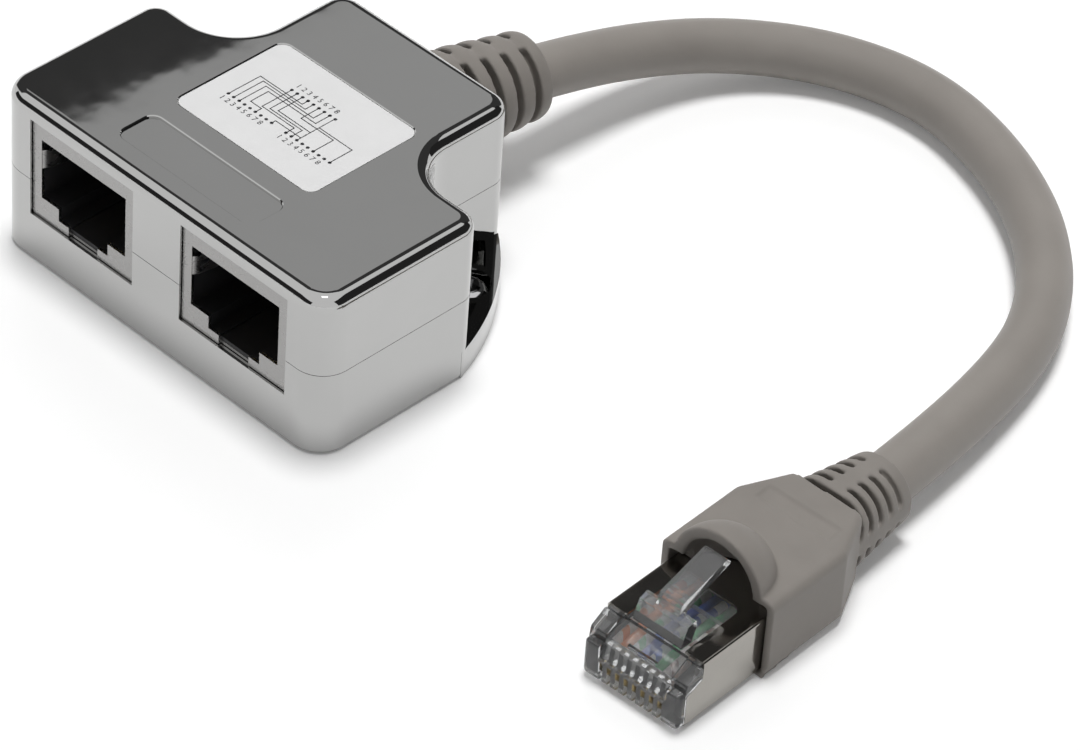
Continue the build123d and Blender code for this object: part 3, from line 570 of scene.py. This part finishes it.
@dataclass
class Housing:
    """The plated box: two shells, the screws in the lower one's ears and the board inside."""

    bench: Bench

    def build(self) -> list[bpy.types.Object]:
        """Makes the shells, the screws and the board.

        Returns:
            The pieces.
        """
        skin = self.bench.skin
        return [
            skin("upper_shell", "box_top", CHROME, "housing_chrome"),
            skin("lower_shell", "box_base", CHROME, "housing_chrome"),
            skin("ear_screw_left", "ear_screw_head_left", SCREW, "screw_steel"),
            skin("ear_screw_right", "ear_screw_head_right", SCREW, "screw_steel"),
            skin("circuit_board", "board", BOARD, "board_green"),
        ]


@dataclass
class WiringLabel:
    """The white label and the wiring diagram printed on it. Sizes are in millimetres.

    Each row of dots is given by its first dot, and its digits by how far back of the dots they are.
    """

    bench: Bench
    surface: float = 18.9
    ink: float = 0.012
    pitch: float = 0.766
    dot_radius: float = 0.19
    line_width: float = 0.105
    digit_size: float = 0.92
    left_row: Spot = (-7.01, 15.66)
    upper_row: Spot = (-3.39, 20.69)
    lower_row: Spot = (1.14, 15.64)
    left_digits: float = -0.84
    upper_digits: float = 0.92
    lower_digits: float = -0.86
    dots: int = 9

    def dot(self, row: Spot, number: int) -> Spot:
        """The place of one numbered dot of a row."""
        return row[0] + (number - 1) * self.pitch, row[1]

    def wires(self) -> list[list[Spot]]:
        """Lays out the diagram's lines, which run square to the label.

        A level is how far back on the label a line runs across it.

        Returns:
            One list of corners for each line.
        """
        left, upper, lower = (
            {number: self.dot(row, number) for number in range(1, self.dots + 1)}
            for row in (self.left_row, self.upper_row, self.lower_row))
        fourth, third = left[4][0], lower[3][0]
        return [
            *(self.bridge(left[start], level, upper[end])
              for start, level, end in ((1, 19.89, 4), (2, 19.56, 5), (3, 19.21, 7))),
            [*self.bridge(left[6], 16.45, (fourth, 18.79)), (upper[8][0], 18.79), upper[8]],
            *(self.bridge(upper[start], level, lower[end])
              for start, level, end in ((1, 16.75, 1), (2, 17.08, 2))),
            self.bridge(upper[3], 17.44, lower[3])[:-1],
            [(third, upper[9][1]), lower[3]],
            self.bridge(left[9], 16.18, lower[3])[:-1],
            self.bridge(upper[6], 18.3, lower[6]),
            self.bridge(lower[3], 18.6, lower[9])[1:],
        ]

    @staticmethod
    def bridge(start: Spot, level: float, end: Spot) -> list[Spot]:
        """The corners of a line that goes to a level, runs across and goes on to its end."""
        return [start, (start[0], level), (end[0], level), end]

    def stroke(self, start: Spot, end: Spot) -> bpy.types.Object:
        """Prints one straight stretch of a line, square to the label."""
        middle = ((start[0] + end[0]) / 2, (start[1] + end[1]) / 2)
        length = (abs(end[0] - start[0]) + self.line_width, abs(end[1] - start[1]) + self.line_width)
        self.bench.clear()
        bpy.ops.mesh.primitive_plane_add(size=1.0, location=self.place(middle))
        made = bpy.context.object
        made.scale = (length[0] * MM, length[1] * MM, 1.0)
        return made

    def place(self, point: Spot) -> Point:
        """A point of the label in the row frame, in metres."""
        return point[0] * MM, (point[1] + DEPTH_SHIFT) * MM, self.surface * MM

    def digit(self, number: int, point: Spot) -> bpy.types.Object:
        """Prints a number centred at a point."""
        self.bench.clear()
        bpy.ops.object.text_add(location=self.place(point))
        made = bpy.context.object
        made.data.body = str(number)
        made.data.size = self.digit_size * MM
        made.data.align_x, made.data.align_y = "CENTER", "CENTER"
        made.data.resolution_u = 3
        self.bench.take(made)
        bpy.ops.object.convert(target="MESH")
        return bpy.context.object

    def build(self) -> list[bpy.types.Object]:
        """Makes the label and its print.

        Returns:
            The label and the print.
        """
        paper = self.bench.skin("wiring_label", "label", LABEL_PAPER, "label_white")
        marks: list[bpy.types.Object] = []
        rows = ((self.left_row, self.left_digits), (self.upper_row, self.upper_digits),
                (self.lower_row, self.lower_digits))
        for row, lift in rows:
            for number in range(1, self.dots + 1):
                self.bench.clear()
                spot = self.dot(row, number)
                bpy.ops.mesh.primitive_circle_add(
                    vertices=20, radius=self.dot_radius * MM, fill_type="NGON", location=self.place(spot))
                marks.append(bpy.context.object)
                if number <= CONTACTS:
                    marks.append(self.digit(number, (spot[0], spot[1] + lift)))
        for line in self.wires():
            marks += [self.stroke(a, b) for a, b in zip(line, line[1:])]
        self.bench.clear()
        for mark in marks:
            mark.select_set(True)
        bpy.context.view_layer.objects.active = marks[0]
        bpy.ops.object.transform_apply(location=True, rotation=True, scale=True)
        bpy.ops.object.join()
        printed = bpy.context.object
        printed.name = printed.data.name = "label_print"
        self.bench.modify(printed, "SOLIDIFY", thickness=self.ink * MM, offset=1.0)
        return [paper, self.bench.dress(printed, INK, "label_white")]


@dataclass
class Jack:
    """One eight-way jack: a folded can, a black body and its wire springs."""

    bench: Bench
    side: Side

    def build(self) -> list[bpy.types.Object]:
        """Makes the jack's pieces.

        Returns:
            The can, the body and the springs.
        """
        side = self.side.value
        skin = self.bench.skin
        pieces = [
            skin(f"jack_{side}_shield", f"port_{side}_can", NICKEL_CAN, "jack_nickel"),
            skin(f"jack_{side}_insert", f"port_{side}_body", BLACK_BODY, "jack_black"),
        ]
        for number in range(1, CONTACTS + 1):
            pieces.append(skin(f"jack_{side}_contact_{number}", f"port_{side}_spring_{number}", GOLD,
                               "contact_gold"))
        return pieces


@dataclass
class Lead:
    """The short cable, its relief on the box and the conductors inside. Sizes are in millimetres.

    The route is the part's own, from the clamp ring in the box to the plug.
    """

    bench: Bench
    diameter: float = 5.7
    length: float = 154.3
    relief_voxel: float = 0.16
    exit_point: Point = (0.0, 18.0, 10.5)
    route: tuple[Point, ...] = (
        (0.0, 27.0, 10.5), (0.0, 36.0, 10.5), (1.581, 48.879, 9.706), (2.44, 63.0, 6.14),
        (6.2, 73.7, 3.85), (14.45, 81.45, 2.93), (25.45, 84.4, 2.88), (37.0, 81.8, 2.87),
        (47.2, 76.3, 2.87), (55.4, 67.8, 2.9), (60.1, 57.3, 3.05), (63.711, 36.448, 4.3),
        (64.575, 19.97, 4.3),
    )

    def cable(self) -> bpy.types.Object:
        """Makes the cable as one smooth spline through the route's control points.

        Returns:
            The cord piece.
        """
        curve = bpy.data.curves.new("lead_cable", "CURVE")
        curve.dimensions = "3D"
        spline = curve.splines.new("NURBS")
        spline.points.add(len(self.route) - 1)
        for knot, (x, y, z) in zip(spline.points, self.route):
            knot.co = (x * MM, (y + DEPTH_SHIFT) * MM, z * MM, 1.0)
        spline.order_u = 3
        spline.use_endpoint_u = True
        spline.resolution_u = 12
        curve.bevel_depth = self.diameter / 2 * MM
        curve.bevel_resolution = 10
        curve.use_fill_caps = True
        piece = bpy.data.objects.new("lead_cable", curve)
        bpy.context.scene.collection.objects.link(piece)
        return self.bench.dress(piece, CABLE_JACKET, "cable_grey", "cable")

    def build(self, plug: list[bpy.types.Object]) -> list[bpy.types.Object]:
        """Args:
            plug: the pieces of the plug, which lie with the cable; not used.

        Returns:
            The relief, the clamp ring, the cable and the conductors' ends on the board.
        """
        relief = self.bench.soft_skin("strain_relief", "cable_relief", BOOT_RUBBER, "relief_grey",
                                      self.relief_voxel)
        ring = self.bench.skin("cable_clamp", "cable_ring", CLAMP, "clamp_steel")
        wires = [self.bench.skin(f"board_wire_{number}", f"inner_wire_{number}", WIRES[number - 1],
                                 WIRES[number - 1].name) for number in range(1, CONTACTS + 1)]
        jacket = self.cable()
        tuple(v * MM for v in self.exit_point)
        return [relief, ring, jacket, *wires]


@dataclass
class Plug:
    """The eight-way plug at the cable's end, in its boot."""

    bench: Bench
    boot_voxel: float = 0.18

    def build(self) -> list[bpy.types.Object]:
        """Makes the plug's pieces.

        Returns:
            The clear body, shield, bar, boot, blades and conductors.
        """
        skin = self.bench.skin
        pieces = [
            skin("plug_body", "plug_clear_body", CLEAR, "plug_clear"),
            skin("plug_shield", "plug_metal_shield", PLUG_SHIELD, "plug_nickel"),
            skin("plug_load_bar", "plug_wire_bar", BAR, "load_bar_clear"),
            self.bench.soft_skin("plug_boot", "plug_rubber_boot", BOOT_RUBBER, "boot_grey",
                                 self.boot_voxel),
        ]
        for number in range(1, CONTACTS + 1):
            pieces.append(skin(f"plug_contact_{number}", f"plug_blade_{number}", GOLD, "blade_gold"))
            wire = WIRES[number - 1]
            pieces.append(skin(f"plug_wire_{number}", f"plug_core_{number}", wire, wire.name))
        return pieces


@dataclass(frozen=True)
class Card:
    """A studio card that only reflections show, square to the line that it lies on.

    The aim is a direction from the object, the distance is in metres, and the corners are
    in millimetres across the card, to the right and up as the object sees it.
    """

    name: str
    aim: Point
    corners: tuple[tuple[float, float], ...]
    tone: float
    tone_right: float
    distance: float = 0.5

    def material(self) -> bpy.types.Material:
        """Makes the card's glow, which changes evenly from its left to its right.

        Returns:
            The material.
        """
        made = bpy.data.materials.new(self.name)
        made.use_nodes = True
        made.node_tree.nodes.clear()
        graph = Graph(made.node_tree)
        where = graph.add("ShaderNodeTexCoord")
        parts = graph.add("ShaderNodeSeparateXYZ")
        graph.link(where.outputs["Generated"], parts.inputs["Vector"])
        level = graph.add("ShaderNodeMapRange", {"To Min": self.tone, "To Max": self.tone_right})
        graph.link(parts.outputs["X"], level.inputs["Value"])
        glow = graph.add("ShaderNodeEmission", {"Color": (1, 1, 1, 1)})
        graph.link(level.outputs["Result"], glow.inputs["Strength"])
        out = graph.add("ShaderNodeOutputMaterial")
        graph.link(glow.outputs[0], out.inputs["Surface"])
        return made

    def build(self, target: Vector) -> bpy.types.Object:
        """Makes the card.

        Args:
            target: the point that the card's line starts from.

        Returns:
            The card.
        """
        aim = Vector(self.aim).normalized()
        right = aim.cross(Vector((0, 0, 1))).normalized()
        axes = Matrix((right, right.cross(aim), -aim)).transposed()
        bpy.ops.mesh.primitive_plane_add(size=1.0)
        card = bpy.context.object
        card.name = self.name
        for vertex, corner in zip(card.data.vertices, self.corners):
            vertex.co = (corner[0] * MM, corner[1] * MM, 0.0)
        card.matrix_world = Matrix.Translation(target + aim * self.distance) @ axes.to_4x4()
        card.data.materials.append(self.material())
        card.visible_camera = card.visible_diffuse = card.visible_shadow = False
        card.visible_transmission = card.visible_volume_scatter = False
        return card


def sheet(left: float, right: float, low: float, high: float) -> tuple[tuple[float, float], ...]:
    """The corners of a card with level edges, in the order of Blender's plane."""
    return (left, low), (right, low), (left, high), (right, high)


@dataclass
class Studio:
    """Camera, floor, world, lamps and reflection cards. Places are in metres.

    The floor lies just under the object. A lamp has its direction, its spread in degrees and
    its strength.
    """

    lens: float = 192.815
    sensor: float = 36.0
    near: float = 0.01
    far: float = 10.0
    eye: Point = (0.314937, -0.309437, 0.361878)
    right: Point = (0.706321, 0.705611, 0.056766)
    up: Point = (-0.487999, 0.427258, 0.761123)
    forward: Point = (-0.512803, 0.565299, -0.646119)
    card_target: Point = (0.0, 0.0, 0.019)
    floor_size: float = 6.0
    floor_height: float = -0.00005
    floor_colour: Colour = (0.94, 0.94, 0.94)
    floor_lift: float = 0.13
    world_light: float = 0.18
    lamps: tuple[tuple[str, Point, float, float], ...] = (
        ("overhead", (-0.03, 0.04, 0.60), 20.0, 2.3),
        ("back_fill", (-0.45, 0.55, 0.50), 40.0, 0.5),
    )
    cards: tuple[Card, ...] = (
        Card("card_top", (-0.513, 0.565, 0.646),
             ((-110.0, 8.0), (35.0, -71.0), (-110.0, 60.0), (35.0, 32.0)), tone=0.51, tone_right=0.54),
        Card("card_dark_back", (-0.513, 0.565, 0.646), sheet(-700.0, 700.0, -420.0, 260.0),
             tone=0.06, tone_right=0.06, distance=0.62),
        Card("card_dark_front", (-0.52, -0.80, 0.30), sheet(-420.0, 420.0, -130.0, 110.0),
             tone=0.03, tone_right=0.03),
        Card("card_dark_right", (0.78, 0.56, 0.30), sheet(-420.0, 420.0, -130.0, 300.0),
             tone=0.03, tone_right=0.03),
        Card("card_glint", (0.12, -0.10, 0.99), sheet(-55.0, 55.0, -55.0, 55.0),
             tone=4.0, tone_right=4.0),
    )

    def camera(self) -> None:
        """Puts the camera where the photograph was taken from."""
        data = bpy.data.cameras.new("camera")
        data.lens, data.sensor_width = self.lens, self.sensor
        data.clip_start, data.clip_end = self.near, self.far
        camera = bpy.data.objects.new("camera", data)
        bpy.context.scene.collection.objects.link(camera)
        axes = Matrix((self.right, self.up, [-c for c in self.forward])).transposed()
        camera.matrix_world = Matrix.Translation(self.eye) @ axes.to_4x4()
        bpy.context.scene.camera = camera

    def backdrop_rays(self, graph: Graph) -> bpy.types.NodeSocket:
        """1 for camera, mirrored and refracted rays that lit nothing on their way, and 0 for others."""
        path = graph.add("ShaderNodeLightPath")
        either = graph.maths("MAXIMUM", path.outputs["Is Camera Ray"], path.outputs["Is Glossy Ray"])
        seen = graph.maths("MAXIMUM", either, path.outputs["Is Transmission Ray"])
        unlit = graph.maths("LESS_THAN", path.outputs["Diffuse Depth"], 0.5)
        return graph.maths("MULTIPLY", seen, unlit)

    def world(self) -> None:
        """Lights all round softly, and shows white."""
        world = bpy.data.worlds.new("studio_world")
        world.use_nodes = True
        world.node_tree.nodes.clear()
        graph = Graph(world.node_tree)
        back = graph.add("ShaderNodeBackground", {"Color": (1, 1, 1, 1)})
        out = graph.add("ShaderNodeOutputWorld")
        shown = graph.maths("MULTIPLY", self.backdrop_rays(graph), 1.0 - self.world_light)
        strength = graph.maths("ADD", shown, self.world_light)
        graph.link(strength, back.inputs["Strength"])
        graph.link(back.outputs[0], out.inputs["Surface"])
        bpy.context.scene.world = world

    def floor(self) -> None:
        """Lays the pale floor, which shows white and keeps the object's shadow."""
        bpy.ops.mesh.primitive_plane_add(size=self.floor_size, location=(0, 0, self.floor_height))
        floor = bpy.context.object
        floor.name = "floor"
        material = bpy.data.materials.new("floor_white")
        material.use_nodes = True
        material.node_tree.nodes.clear()
        graph = Graph(material.node_tree)
        matte = graph.add("ShaderNodeBsdfDiffuse", {"Color": (*self.floor_colour, 1)})
        glow = graph.add("ShaderNodeEmission", {"Color": (1, 1, 1, 1)})
        both = graph.add("ShaderNodeAddShader")
        out = graph.add("ShaderNodeOutputMaterial")
        lift = graph.maths("MULTIPLY", self.backdrop_rays(graph), self.floor_lift)
        graph.link(lift, glow.inputs["Strength"])
        graph.link(matte.outputs[0], both.inputs[0])
        graph.link(glow.outputs[0], both.inputs[1])
        graph.link(both.outputs[0], out.inputs["Surface"])
        floor.data.materials.append(material)

    def lights(self) -> None:
        """Hangs the soft, distant lamps, which light evenly and don't show in reflections."""
        for name, place, spread, strength in self.lamps:
            data = bpy.data.lights.new(name, "SUN")
            data.angle, data.energy = math.radians(spread), strength
            lamp = bpy.data.objects.new(name, data)
            lamp.location = place
            lamp.visible_glossy = False
            lamp.rotation_euler = Vector(place).to_track_quat("Z", "Y").to_euler()
            bpy.context.scene.collection.objects.link(lamp)

    def build(self) -> None:
        """Sets up the whole studio."""
        bpy.context.scene.view_settings.view_transform = "Standard"
        self.camera()
        self.world()
        self.floor()
        self.lights()
        for card in self.cards:
            card.build(Vector(self.card_target))


def main() -> None:
    """Builds the dressed object and the studio round it."""
    logging.basicConfig(level=logging.INFO, format="%(message)s")
    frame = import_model()
    bench = Bench(frame)
    made = Housing(bench).build()
    made += WiringLabel(bench).build()
    for side in Side:
        made += Jack(bench, side).build()
    plug = Plug(bench).build()
    made += plug + Lead(bench).build(plug)
    LOG.info("pieces made: %d", len(made))
    bench.clear()
    Studio().build()


if __name__ == "__main__":
    main()
